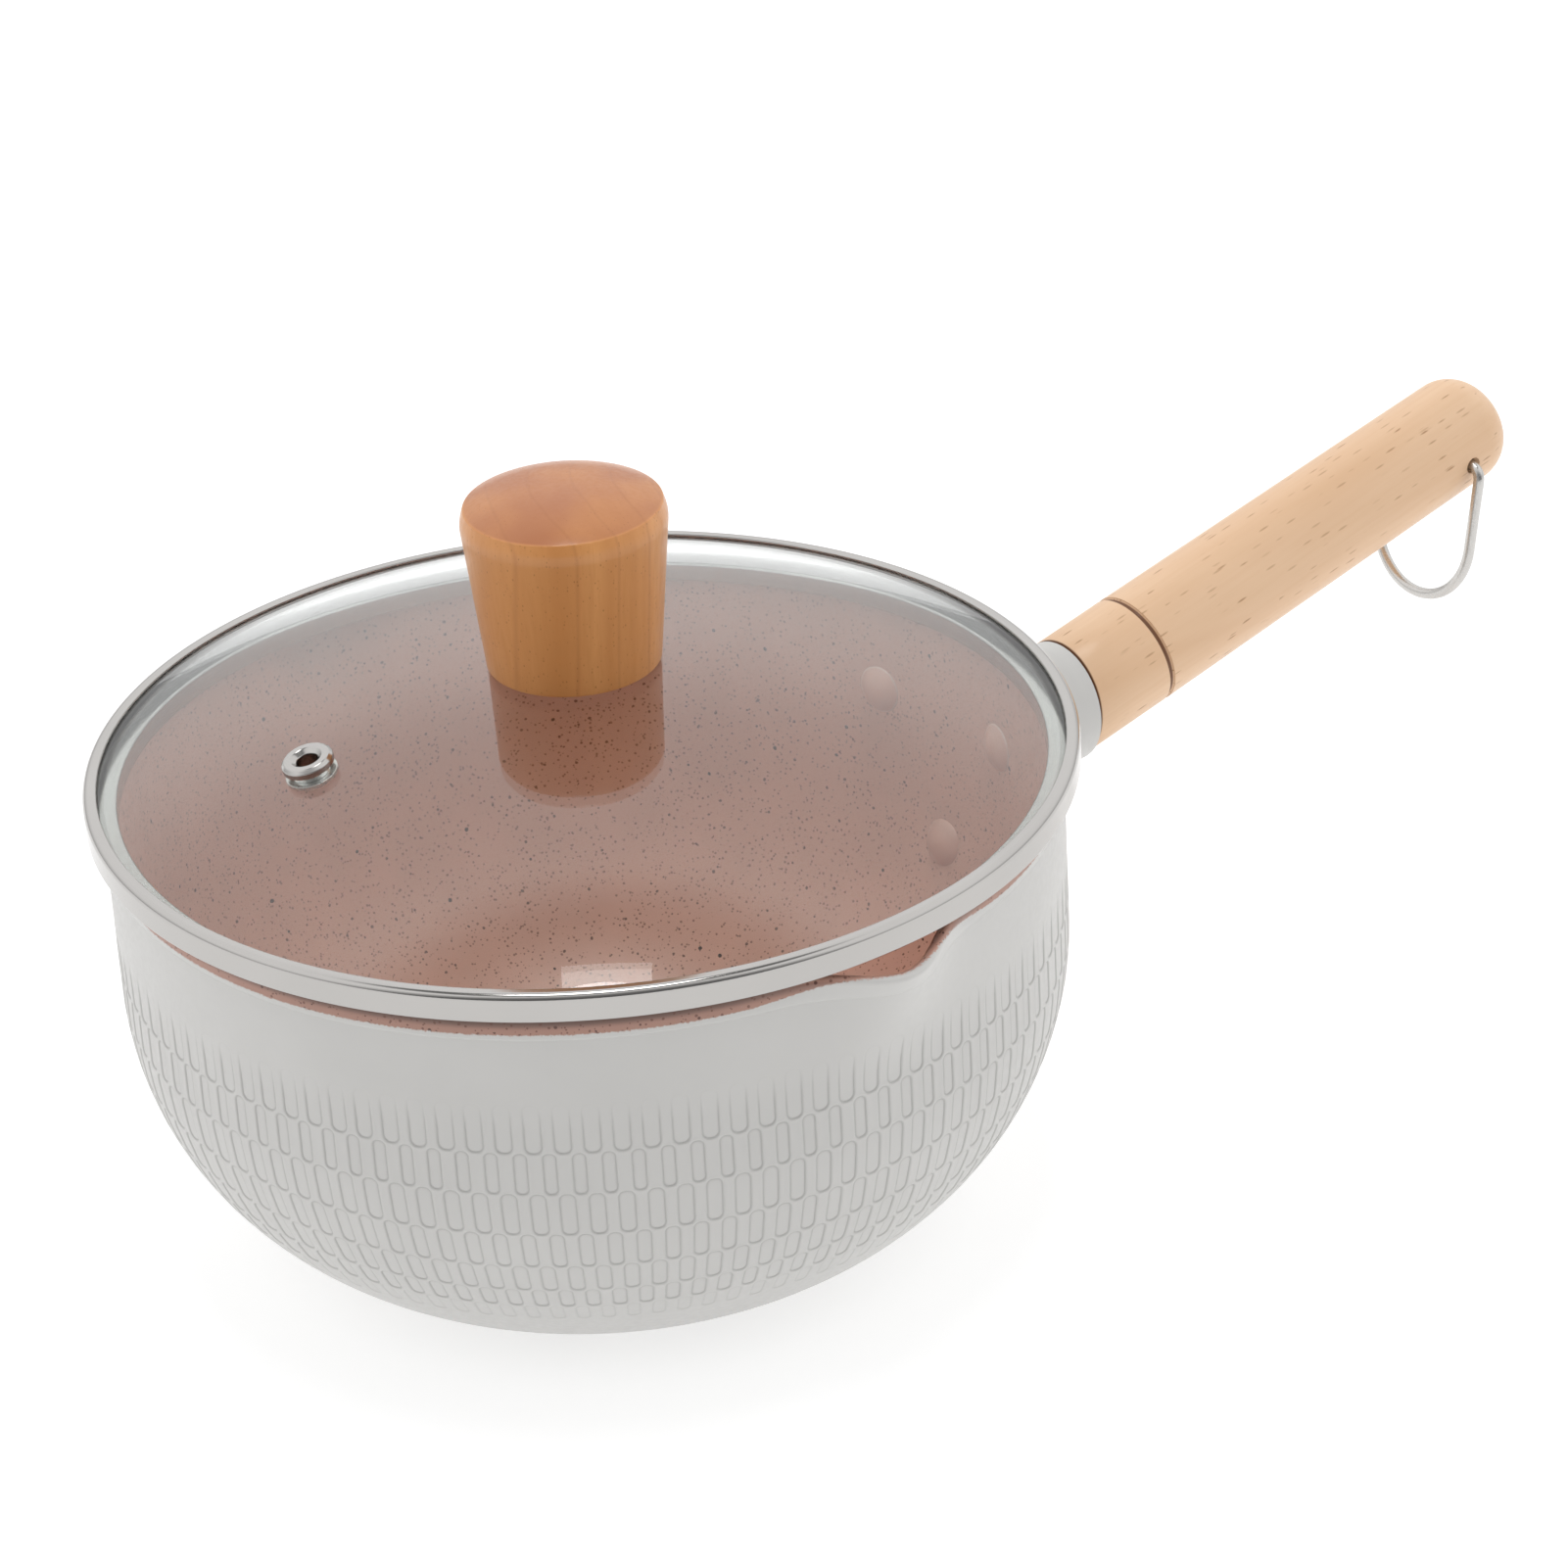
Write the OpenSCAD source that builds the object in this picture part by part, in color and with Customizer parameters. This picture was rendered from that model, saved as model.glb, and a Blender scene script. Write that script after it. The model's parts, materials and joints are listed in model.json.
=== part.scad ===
// Saucepan with a domed glass lid: a cast pan with two pouring spouts, a turned wooden
// handle on a riveted bracket with a wire hanging loop, and a steel-rimmed glass lid
// with a vent and a wooden knob. Millimetres, +Z up, +X along the handle. The origin is
// the centre of the underside of the base.

/* [Pan] */
// Outer radius of the straight wall
pan_r = 99; // [98.6:0.1:99.5]
// Height of the rim above the underside
pan_h = 97.1; // [94:0.1:101]
// Outer radius of the curve that joins the wall to the base
side_r = 66; // [65:1:70]
// Height at which the straight wall meets that curve
side_z = 60; // [56:1:61]
// Thickness of the cast wall
wall_t = 2.6; // [2:0.1:2.8]
// Thickness of the cast base
base_t = 4; // [3:0.5:6]
// Thickness drawn for the sprayed non-stick coating
coat_t = 0.4; // [0.2:0.1:0.5]
// Rounding of the rim's outer edge
rim_round = 1.2; // [0.5:0.1:2]

/* [Base plate] */
// Radius of the steel disc pressed into the underside
plate_r = 55; // [40:1:57]
// Thickness of that disc
plate_t = 1; // [0.5:0.1:1.5]

/* [Spouts] */
// Distance from the pan's axis to the upright axis of each spout's funnel
spout_offset = 91; // [89:0.5:91]
// Height of the foot of the funnel
spout_foot_z = 66; // [62:1:71]
// Outer radius of the funnel at its foot
spout_foot_r = 7.5; // [6:0.5:7.5]
// Outer radius of the funnel at the rim
spout_top_r = 16.9; // [12:0.1:20]
// How far the tip of the lip lies below the rim
lip_drop = 3; // [1:0.5:5]

/* [Handle] */
// Height at which the handle's axis would cross the pan's axis
handle_z = 40; // [38:0.2:43]
// Upward tilt of the handle in degrees
handle_tilt = 12.1; // [8:0.1:14]
// Distance from the pan's axis to the upright joint between bracket and grip
joint_x = 129.5; // [124:0.5:135]
// Diameter of the grip at the joint
grip_d = 26.2; // [24:0.1:28]
// Diameter of the grip near its far end
grip_end_d = 25.1; // [24:0.1:26]
// Distance along the handle's axis from the pan's axis to the grip's far end
grip_end = 265; // [240:1:290]
// Rounding of the grip's far end
grip_round = 9; // [4:0.5:11]
// Distance along the handle's axis to the turned groove
groove_at = 154; // [148:1:165]
// Thickness of the bracket's plate on the wall
saddle_t = 3; // [2:0.5:4]
// Diameter of the threaded stud inside the handle
stud_d = 6; // [5:0.5:8]

/* [Rivets] */
// Diameter of a rivet's head inside the pan
rivet_head_d = 10.6; // [9:0.1:11]
// Height of that head
rivet_head_h = 2.3; // [1.5:0.1:3]
// Diameter of a rivet's shank
rivet_d = 5; // [4:0.5:6]
// Angle round the pan from the handle to each upper rivet
rivet_turn = 11.9; // [10:0.1:13]
// Height of the upper rivets
rivet_z = 75; // [72:1:77]
// Angle below the horizontal of the lower rivet, round the curve of the side
rivet_dip = 14.2; // [12:0.1:16]

/* [Hanging loop] */
// Diameter of the wire
wire_d = 2.5; // [2:0.1:3]
// Distance between the middles of the loop's two legs
loop_w = 29.6; // [29.2:0.1:36]
// Distance from the pin hole to the middle of the wire at the bottom of the loop
loop_drop = 34.6; // [33:0.1:50]
// Distance from the grip's far end to the pin hole
pin_inset = 15; // [12:0.5:16]
// How far the pin hole lies below the grip's axis
pin_low = 1.5; // [0:0.1:2]
// Angle by which the loop rests swung towards the pan
loop_rest = 10; // [0:1:30]

/* [Lid] */
// Outer radius of the steel rim
lid_r = 102.5; // [102:0.5:104]
// Height of the rim's outer band, up to the middle of its bead
band_h = 4.4; // [4:0.1:5]
// Gap between the closed lid and the pan's rim
lid_gap = 0.9; // [0.3:0.1:1.2]
// Thickness of the rim's sheet
sheet_t = 0.5; // [0.4:0.1:0.6]
// Radius of the bead rolled over the glass
bead_r = 1.5; // [1.3:0.1:1.6]
// Outer radius of the skirt that keeps the lid centred in the pan
skirt_r = 95.4; // [93:0.1:95.5]
// How far the skirt reaches below the rim's flange
skirt_drop = 3.4; // [2:0.1:6]
// Thickness of the glass
glass_t = 3.5; // [3:0.1:3.6]
// Rise of the glass from its edge to its middle
dome_rise = 21.7; // [18:0.1:24]
// Distance from the lid's axis to the steam vent
vent_offset = 60; // [40:1:75]
// Angle round the lid from the handle to the vent
vent_turn = 170; // [0:1:360]

/* [Knob] */
// Diameter of the knob at the glass
knob_d = 35.8; // [32:0.1:38]
// Diameter of the knob at its widest
knob_top_d = 42.4; // [41:0.1:46]
// Height of the knob's widest part above the glass
knob_wide_z = 31.4; // [26:0.1:34]
// Diameter of the edge between the knob's side and its domed top
knob_edge_d = 40.6; // [36:0.1:42]
// Height of that edge above the glass
knob_edge_z = 34.4; // [34.2:0.1:36]
// Height of the whole knob
knob_h = 38.4; // [37:0.1:42]

/* [Hidden] */
$fn = 96;
paint = "#e6e4df";
coating = "#a9685c";
steel = "#b9babc";
// play left round a fixed pin, and round the pin that turns
fixed_play = 0.05;
pin_play = 0.05;
// a length or width that is more than any solid needs
big = 400;
// spout: gain in the funnel's radius for each millimetre of height, and slope of the lip
funnel_flare = (spout_top_r - spout_foot_r) / (pan_h - spout_foot_z);
lip_reach = spout_offset + spout_top_r - pan_r;
lip_slope = atan(lip_drop / lip_reach);
// bracket: radius of the plate round each rivet, the collar and its flare at the wall
saddle_r = 7;
collar_d = grip_d + 0.6;
flare_d = 38;
flare_from = 92;
flare_to = 116;
// handle: where the grip's turning starts, stud's two ends, depth of the joint's shadow line, radius of the groove's cut
grip_from = 110;
stud_from = 108;
stud_to = 165;
joint_line = 0.7;
groove_r = 0.8;
pin_at = grip_end - pin_inset;
pin_x = pin_at * cos(handle_tilt);
pin_z = handle_z + pin_at * sin(handle_tilt) - pin_low;
elbow_r = 3;
leg_l = loop_drop - loop_w / 2 - elbow_r;
pin_l = 8;
// rivets: the head sits a hair clear of the curved wall, and the tail is a smaller dome
head_clear = 0.25;
tail_d = 9;
tail_h = 1.8;
// lid: heights of the flange and of the glass, and the dome's radius
lid_z = pan_h + lid_gap;
glass_r = lid_r - sheet_t - 0.5;
glass_clear = 0.05;
dome_r = (glass_r * glass_r + dome_rise * dome_rise) / (2 * dome_rise);
edge_t = sqrt(pow(dome_r, 2) - pow(glass_r, 2)) - sqrt(pow(dome_r - glass_t, 2) - pow(glass_r, 2));
apex_z = lid_z + sheet_t + glass_clear + edge_t + dome_rise;
dome_z = apex_z - dome_r;
// vent: flange, barrel, bore and rolled end
vent_d = 10.8;
vent_h = 2;
vent_barrel_d = 7.2;
vent_bore_d = 4.5;
vent_hole_d = 8;
vent_washer_t = 0.8;
vent_roll_d = 9;
vent_roll_h = 0.8;
// knob: radius of the domed top
cap_h = knob_h - knob_edge_z;
cap_r = (pow(knob_edge_d / 2, 2) + pow(cap_h, 2)) / (2 * cap_h);
// knob fixings, from the glass down: gasket, washer, screw head
screw_d = 5;
screw_head_d = 9.5;
screw_head_h = 2.8;
screw_l = 12;
insert_d = 8;
insert_h = 13;
glass_hole_d = 7;
gasket_d = 18;
gasket_t = 1;
washer_d = 15;
washer_t = 1;
under_z = dome_z + sqrt(pow(dome_r - glass_t, 2) - pow(gasket_d / 2, 2)) - glass_clear;

// ---- shared shapes ----

// Round solid inside the pan's outer face moved out by grow, from floor_z up to top_z
module pan_solid(grow, floor_z, top_z) {
    rotate_extrude() intersection() {
        translate([0, floor_z]) square([pan_r + grow, top_z - floor_z]);
        union() {
            translate([0, side_z]) square([pan_r + grow, top_z - side_z]);
            translate([pan_r - side_r, side_z]) circle(r = side_r + grow);
            square([pan_r - side_r, side_z]);
        }
    }
}

// Funnels of the two spouts, moved out by grow, with extra height above the rim
module funnels(grow, extra) {
    h = pan_h - spout_foot_z + extra;
    top_r = spout_foot_r + h * funnel_flare;
    for (turn = [0, 180]) rotate(turn) translate([0, -spout_offset, spout_foot_z])
        cylinder(h = h, r1 = spout_foot_r + grow, r2 = top_r + grow);
}

// What stands above the sloping lips
module above_lips() {
    for (turn = [0, 180]) rotate(turn) translate([0, -pan_r, pan_h]) rotate([lip_slope, 0, 0])
        translate([-25, -25, 0]) cube([50, 25, 20]);
}

// Children placed on a rivet's axis: the wall's outer face is at z 0 and +z points out
module at_upper_rivet(turn) {
    rotate(turn) translate([pan_r, 0, rivet_z]) rotate([0, 90, 0]) children();
}

module at_lower_rivet() {
    translate([pan_r - side_r, 0, side_z]) rotate([0, 90 + rivet_dip, 0])
        translate([0, 0, side_r]) children();
}

module rivet_holes() {
    for (turn = [-rivet_turn, rivet_turn]) at_upper_rivet(turn)
        cylinder(d = rivet_d + 2 * fixed_play, h = 16, center = true);
    at_lower_rivet() cylinder(d = rivet_d + 2 * fixed_play, h = 16, center = true);
}

// Low dome of diameter d and height h on the plane z 0
module low_dome(d, h) {
    r = (d * d / 4 + h * h) / (2 * h);
    intersection() {
        translate([0, 0, h - r]) sphere(r = r);
        cylinder(d = d, h = h);
    }
}

module rivet() {
    head_z = wall_t + coat_t + head_clear;
    translate([0, 0, -head_z - 0.1]) cylinder(d = rivet_d, h = head_z + saddle_t + 0.4);
    translate([0, 0, -head_z]) mirror([0, 0, 1]) low_dome(rivet_head_d, rivet_head_h);
    translate([0, 0, saddle_t + 0.2]) low_dome(tail_d, tail_h);
}

// Children placed on the handle's axis, with z the distance along it
module along_handle() {
    translate([0, 0, handle_z]) rotate([0, 90 - handle_tilt, 0]) children();
}

// Ring of outer radius r_out, inner radius r_in and height h
module ring(r_out, r_in, h) {
    difference() {
        cylinder(r = r_out, h = h);
        translate([0, 0, -1]) cylinder(r = r_in, h = h + 2);
    }
}

// Section of the glass, moved out by grow
module glass_section(grow) {
    intersection() {
        difference() {
            translate([0, dome_z]) circle(r = dome_r + grow, $fn = 360);
            translate([0, dome_z]) circle(r = dome_r - glass_t - grow, $fn = 360);
        }
        square([glass_r + grow, apex_z + 5]);
    }
}

// Children placed on the vent's axis: the glass's upper face is at z 0
module at_vent() {
    rotate(vent_turn) translate([0, 0, dome_z]) rotate([0, asin(vent_offset / dome_r), 0])
        translate([0, 0, dome_r]) children();
}

// ---- pan ----

module pan_shell() {
    color(paint) difference() {
        union() {
            difference() {
                pan_solid(0, 0, pan_h);
                rotate_extrude() translate([pan_r - rim_round, pan_h - rim_round]) difference() {
                    square(rim_round + 1);
                    circle(r = rim_round);
                }
            }
            funnels(0, 0);
        }
        pan_solid(-wall_t, base_t, pan_h + 1);
        funnels(-wall_t, 1);
        above_lips();
        translate([0, 0, -1]) cylinder(r = plate_r + 0.2, h = plate_t + 1);
        rivet_holes();
    }
}

// Upright wedges through the wall that take in the funnels' mouths
module spout_mouths() {
    foot_half = spout_foot_r / 2;
    rotate([90, 0, 0]) linear_extrude(height = 2 * pan_r + 20, center = true) polygon([
        [-foot_half, spout_foot_z + 3], [foot_half, spout_foot_z + 3],
        [spout_top_r - wall_t, pan_h + 1], [wall_t - spout_top_r, pan_h + 1]]);
}

module nonstick_lining() {
    color(coating) difference() {
        pan_solid(-wall_t, base_t, pan_h);
        pan_solid(-wall_t - coat_t, base_t + coat_t, pan_h + 1);
        spout_mouths();
        rivet_holes();
    }
}

module base_plate() {
    color(steel) cylinder(r = plate_r, h = plate_t);
}

// ---- handle ----

// Plate that hugs the wall round the three rivets
module saddle() {
    half_top = pan_r * sin(rivet_turn) + saddle_r;
    low_z = side_z - side_r * sin(rivet_dip) - saddle_r;
    intersection() {
        pan_solid(saddle_t, 1, pan_h - 1);
        rotate([90, 0, 90]) linear_extrude(height = 2 * pan_r) polygon([
            [-half_top, rivet_z + saddle_r], [half_top, rivet_z + saddle_r],
            [half_top, rivet_z - saddle_r], [saddle_r, low_z], [-saddle_r, low_z],
            [-half_top, rivet_z - saddle_r]]);
    }
}

module handle_bracket() {
    color(paint) difference() {
        union() {
            saddle();
            intersection() {
                along_handle() rotate_extrude() polygon([[0, flare_from], [flare_d / 2, flare_from],
                    [collar_d / 2, flare_to], [collar_d / 2, grip_end], [0, grip_end]]);
                translate([0, -big / 2, 0]) cube([joint_x, big, big]);
            }
        }
        pan_solid(0.05, 0, pan_h);
        along_handle() translate([0, 0, stud_from])
            cylinder(d = stud_d + 2 * fixed_play, h = stud_to);
        rivet_holes();
        // pocket that leaves room to set the lower rivet
        at_lower_rivet() translate([0, 0, saddle_t]) cylinder(d = tail_d + 1, h = 20);
    }
}

module rivet_upper_left() {
    color(coating) at_upper_rivet(-rivet_turn) rivet();
}

module rivet_upper_right() {
    color(coating) at_upper_rivet(rivet_turn) rivet();
}

module rivet_lower() {
    color(coating) at_lower_rivet() rivet();
}

module handle_stud() {
    color(steel) along_handle() translate([0, 0, stud_from + 0.5])
        cylinder(d = stud_d, h = stud_to - stud_from - 1);
}

// Turned outline of the grip, with y the distance along the handle's axis
module grip_section() {
    end_r = grip_end_d / 2;
    polygon([[0, grip_from], [grip_d / 2, grip_from], [grip_d / 2, groove_at],
        [end_r, grip_end - grip_round], [0, grip_end - grip_round]]);
    translate([0, groove_at]) square([end_r - grip_round, grip_end - groove_at]);
    intersection() {
        translate([end_r - grip_round, grip_end - grip_round]) circle(r = grip_round);
        translate([0, groove_at]) square([end_r, grip_end]);
    }
}

module handle_grip() {
    color("#d9a56a") difference() {
        along_handle() rotate_extrude() difference() {
            grip_section();
            translate([grip_d / 2 + 0.2, groove_at]) circle(r = groove_r);
        }
        // upright joint face, with a narrow shadow line round it
        translate([0, -big / 2, 0]) cube([joint_x, big, big]);
        difference() {
            translate([joint_x - 1, -big / 2, 0]) cube([1 + joint_line, big, big]);
            along_handle() cylinder(d = grip_d - 2 * joint_line, h = grip_end);
        }
        along_handle() cylinder(d = stud_d + 2 * fixed_play, h = stud_to);
        translate([pin_x, 0, pin_z]) rotate([90, 0, 0]) {
            cylinder(d = wire_d + 2 * pin_play, h = big, center = true);
            for (side = [0, 1]) mirror([0, 0, side]) translate([0, 0, grip_end_d / 2 - 1.4])
                cylinder(d1 = wire_d, d2 = wire_d + 3.2, h = 3);
        }
    }
}

// Half of the loop, on the side of +y, drawn with the pin's axis through the origin
module half_loop() {
    leg_y = loop_w / 2;
    // end of the wire inside the grip's hole
    translate([0, leg_y - elbow_r, 0]) rotate([90, 0, 0]) cylinder(d = wire_d, h = pin_l);
    // elbow
    translate([0, leg_y - elbow_r, -elbow_r]) rotate([0, 90, 0]) intersection() {
        rotate_extrude() translate([elbow_r, 0]) circle(d = wire_d);
        translate([-2 * elbow_r, 0, -wire_d]) cube([2 * elbow_r, 2 * elbow_r, 2 * wire_d]);
    }
    // leg
    translate([0, leg_y, -elbow_r - leg_l]) cylinder(d = wire_d, h = leg_l);
    // quarter of the round bottom
    translate([0, 0, -elbow_r - leg_l]) rotate([0, 90, 0]) intersection() {
        rotate_extrude() translate([leg_y, 0]) circle(d = wire_d);
        translate([0, 0, -wire_d]) cube([2 * leg_y, 2 * leg_y, 2 * wire_d]);
    }
}

module hanging_loop() {
    color(steel) translate([pin_x, 0, pin_z]) rotate([0, loop_rest, 0]) {
        half_loop();
        mirror([0, 1, 0]) half_loop();
    }
}

// ---- lid ----

module lid_glass() {
    color("#cfe3dc", 0.4) difference() {
        rotate_extrude() glass_section(0);
        translate([0, 0, apex_z - 10]) cylinder(d = glass_hole_d, h = 20);
        at_vent() cylinder(d = vent_hole_d, h = 30, center = true);
    }
}

module lid_rim() {
    bead_z = lid_z + band_h;
    color(steel) rotate_extrude() difference() {
        union() {
            translate([lid_r - sheet_t, lid_z]) square([sheet_t, band_h]);
            translate([lid_r - bead_r, bead_z]) circle(r = bead_r);
            translate([skirt_r - sheet_t, lid_z]) square([lid_r - skirt_r + sheet_t, sheet_t]);
            translate([skirt_r - sheet_t, lid_z - skirt_drop]) square([sheet_t, skirt_drop + 0.1]);
        }
        glass_section(glass_clear / 2);
        translate([lid_r - 2 * bead_r, lid_z + sheet_t])
            square([2 * bead_r - sheet_t, bead_z - lid_z - sheet_t - 0.6]);
    }
}

module vent_eyelet() {
    barrel_l = glass_t + vent_washer_t + 0.2;
    color(steel) at_vent() difference() {
        union() {
            translate([0, 0, 0.05]) cylinder(d = vent_d, h = vent_h - 0.6);
            translate([0, 0, vent_h - 0.56]) cylinder(d1 = vent_d, d2 = vent_d - 1.2, h = 0.6);
            translate([0, 0, -barrel_l]) cylinder(d = vent_barrel_d, h = barrel_l + 1);
            translate([0, 0, -barrel_l - vent_roll_h]) cylinder(d = vent_roll_d, h = vent_roll_h);
        }
        cylinder(d = vent_bore_d, h = 30, center = true);
        translate([0, 0, vent_h - 0.6]) cylinder(d1 = vent_bore_d, d2 = vent_bore_d + 3, h = 0.7);
    }
}

module vent_washer() {
    color(steel) at_vent() translate([0, 0, -glass_t - vent_washer_t - 0.1])
        ring(vent_d / 2, vent_barrel_d / 2 + fixed_play, vent_washer_t);
}

// ---- knob ----

// Turned outline of the knob, with y the height above the top of the glass
module knob_section() {
    polygon([[0, -1], [knob_d / 2, -1], [knob_d / 2, 0], [knob_top_d / 2, knob_wide_z],
        [knob_edge_d / 2, knob_edge_z], [0, knob_edge_z]]);
    intersection() {
        translate([0, knob_h - cap_r]) circle(r = cap_r);
        translate([0, knob_edge_z]) square([knob_edge_d / 2, knob_h]);
    }
}

module lid_knob() {
    color("#d98a3d") difference() {
        translate([0, 0, apex_z]) rotate_extrude() knob_section();
        translate([0, 0, dome_z]) sphere(r = dome_r + glass_clear, $fn = 360);
        translate([0, 0, apex_z - 2]) cylinder(d = insert_d + 2 * fixed_play, h = insert_h + 3);
    }
}

module knob_insert() {
    color("#c9a24a") translate([0, 0, apex_z + 0.5])
        ring(insert_d / 2, screw_d / 2 + fixed_play, insert_h);
}

module knob_gasket() {
    color("#dcdcd8") translate([0, 0, under_z - gasket_t])
        ring(gasket_d / 2, screw_d / 2 + fixed_play, gasket_t);
}

module knob_washer() {
    color(steel) translate([0, 0, under_z - gasket_t - washer_t])
        ring(washer_d / 2, screw_d / 2 + fixed_play, washer_t);
}

module knob_screw() {
    seat_z = under_z - gasket_t - washer_t;
    color(steel) translate([0, 0, seat_z]) difference() {
        union() {
            cylinder(d = screw_d, h = apex_z - seat_z + screw_l);
            mirror([0, 0, 1]) low_dome(screw_head_d, screw_head_h);
        }
        // cross recess
        for (turn = [0, 90]) rotate(turn) translate([-2.5, -0.5, -screw_head_h - 1])
            cube([5, 1, 2.6]);
    }
}

pan_shell();
nonstick_lining();
base_plate();
handle_bracket();
rivet_upper_left();
rivet_upper_right();
rivet_lower();
handle_stud();
handle_grip();
hanging_loop();
lid_glass();
lid_rim();
vent_eyelet();
vent_washer();
lid_knob();
knob_insert();
knob_screw();
knob_washer();
knob_gasket();
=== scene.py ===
"""Saucepan with a glass lid: the visual model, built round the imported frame. Metres, +Z up."""
import json
import math

import bmesh
import bpy
import numpy as np
from mathutils import Matrix, Vector


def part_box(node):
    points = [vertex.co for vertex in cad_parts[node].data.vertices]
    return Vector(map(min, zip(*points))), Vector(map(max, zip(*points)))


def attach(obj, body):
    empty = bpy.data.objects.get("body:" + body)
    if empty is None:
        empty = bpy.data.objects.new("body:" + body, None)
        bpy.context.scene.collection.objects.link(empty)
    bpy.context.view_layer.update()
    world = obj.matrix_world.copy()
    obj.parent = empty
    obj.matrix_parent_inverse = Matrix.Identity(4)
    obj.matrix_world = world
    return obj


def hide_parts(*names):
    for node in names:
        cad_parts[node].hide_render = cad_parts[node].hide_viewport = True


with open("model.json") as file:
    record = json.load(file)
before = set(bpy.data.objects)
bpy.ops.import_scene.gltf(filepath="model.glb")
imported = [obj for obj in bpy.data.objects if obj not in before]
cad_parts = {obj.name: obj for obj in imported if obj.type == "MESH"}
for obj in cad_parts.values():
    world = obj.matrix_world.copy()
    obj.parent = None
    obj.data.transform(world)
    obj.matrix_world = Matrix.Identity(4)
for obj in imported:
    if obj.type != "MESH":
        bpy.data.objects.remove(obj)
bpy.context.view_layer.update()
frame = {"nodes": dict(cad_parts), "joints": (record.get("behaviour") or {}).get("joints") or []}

MM = 0.001

# ---- sizes, taken from the frame where it states them ----

PAN_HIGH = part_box("pan_shell")[1]
PAN_R = PAN_HIGH.x
RIM_Z = PAN_HIGH.z
PLATE_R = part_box("base_plate")[1].x
PLATE_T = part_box("base_plate")[1].z
WALL_T = 2.6 * MM
FLOOR_T = 4 * MM
COAT_T = 0.4 * MM
COAT_FOOT = 5.2 * MM
COAT_SKIN = 0.06 * MM
COAT_BACK = 0.05 * MM
SIDE_R = 66 * MM
SIDE_Z = 60 * MM
SIDE_X = PAN_R - SIDE_R
RIM_ROUND = 1.5 * MM

SPOUT_TURNS = (math.radians(-90), math.radians(90))
SPOUT_SPREAD = math.radians(7.6)
SPOUT_REACH = PAN_HIGH.y - PAN_R
SPOUT_DROP = 2.8 * MM
SPOUT_FOOT_Z = 68 * MM

# seven rows of dimples: how many in a row, where each row ends on the run down the wall from
# the rim, and the half width of a row's dimples as a share of their spacing
DIMPLES = 108
DIMPLE_ENDS = np.array([19.5, 30.6, 39.9, 50.0, 59.3, 67.6, 74.4, 80.9]) * MM
DIMPLE_HALVES = (0.3, 0.235, 0.285, 0.265, 0.28, 0.27, 0.26)
DIMPLE_DEPTH = 0.15 * MM
DIMPLE_EDGE = 0.3 * MM
LIP_HEIGHT = 0.05 * MM
LIP_HALF = 0.25 * MM
LIP_OUT = 0.45 * MM
GROOVE_DEPTH = 0.12 * MM
GROOVE_HALF = 0.19 * MM
GROOVE_IN = 0.05 * MM

HANDLE_Z = 40 * MM
HANDLE_TILT = math.radians(12.1)
JOINT_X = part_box("handle_grip")[0].x
GRIP_R = 26.2 / 2 * MM
GRIP_END_R = 25.1 / 2 * MM
GRIP_END = 265 * MM
GRIP_ROUND = 9 * MM
GROOVE_AT = 154 * MM
LOOP_JOINT = next(j for j in frame["joints"] if j["name"] == "loop_swing")
PIN = Vector(LOOP_JOINT["pos_m"])
WIRE_R = 1.25 * MM
LOOP_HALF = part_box("hanging_loop")[1].y - WIRE_R
LOOP_DROP = 34.6 * MM
LOOP_REST = math.radians(10)
ELBOW_R = 3 * MM
PIN_IN = 8 * MM

RIM_LOW, RIM_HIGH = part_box("lid_rim")
LID_R = RIM_HIGH.x
LID_Z = RIM_LOW.z + 3.4 * MM
GLASS_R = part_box("lid_glass")[1].x
SCREW_IN_KNOB = 12 * MM
GLASS_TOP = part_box("knob_screw")[1].z - SCREW_IN_KNOB
GLASS_T = 3.5 * MM
DOME_RISE = 21.7 * MM
DOME_R = (GLASS_R ** 2 + DOME_RISE ** 2) / (2 * DOME_RISE)
DOME_Z = GLASS_TOP - DOME_R
VENT_OFFSET = 60 * MM
VENT_TURN = math.radians(170)
VENT_HOLE_R = 4 * MM
SCREW_HOLE_R = 3.5 * MM

KNOB_R = 35.8 / 2 * MM
KNOB_TOP_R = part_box("lid_knob")[1].x
KNOB_WIDE = 31.4 * MM
KNOB_EDGE_R = 20.3 * MM
KNOB_EDGE = 34.4 * MM
KNOB_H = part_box("lid_knob")[1].z - GLASS_TOP
KNOB_HEART = (38 * MM, -16 * MM, 0)

# ---- mesh helpers ----


def arc(cx, cy, r, start, end, steps):
    """Points of an arc round (cx, cy), with angles in degrees."""
    angles = np.radians(np.linspace(start, end, steps + 1))
    return [(cx + r * math.cos(a), cy + r * math.sin(a)) for a in angles]


def rounded(corners, closed, steps=5, support=0.15 * MM):
    """Outline through (x, y, rounding) corners, with a support point beside each rounding."""
    points = []
    count = len(corners)
    for i, (x, y, r) in enumerate(corners):
        here = Vector((x, y))
        ends = not closed and i in (0, count - 1)
        if ends or r <= 0:
            points.append(here)
            continue
        before = Vector(corners[i - 1][:2]) - here
        after = Vector(corners[(i + 1) % count][:2]) - here
        half = before.angle(after) / 2
        cut = min(r / math.tan(half), 0.49 * before.length, 0.49 * after.length)
        r = cut * math.tan(half)
        before.normalize()
        after.normalize()
        middle = here + (before + after).normalized() * (r / math.sin(half))
        first, last = here + before * cut, here + after * cut
        points.append(first + before * support)
        a, b = first - middle, last - middle
        for k in range(steps + 1):
            points.append(middle + a.normalized().slerp(b.normalized(), k / steps) * r)
        points.append(last + after * support)
    return [(p[0], p[1]) for p in points]


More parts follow.
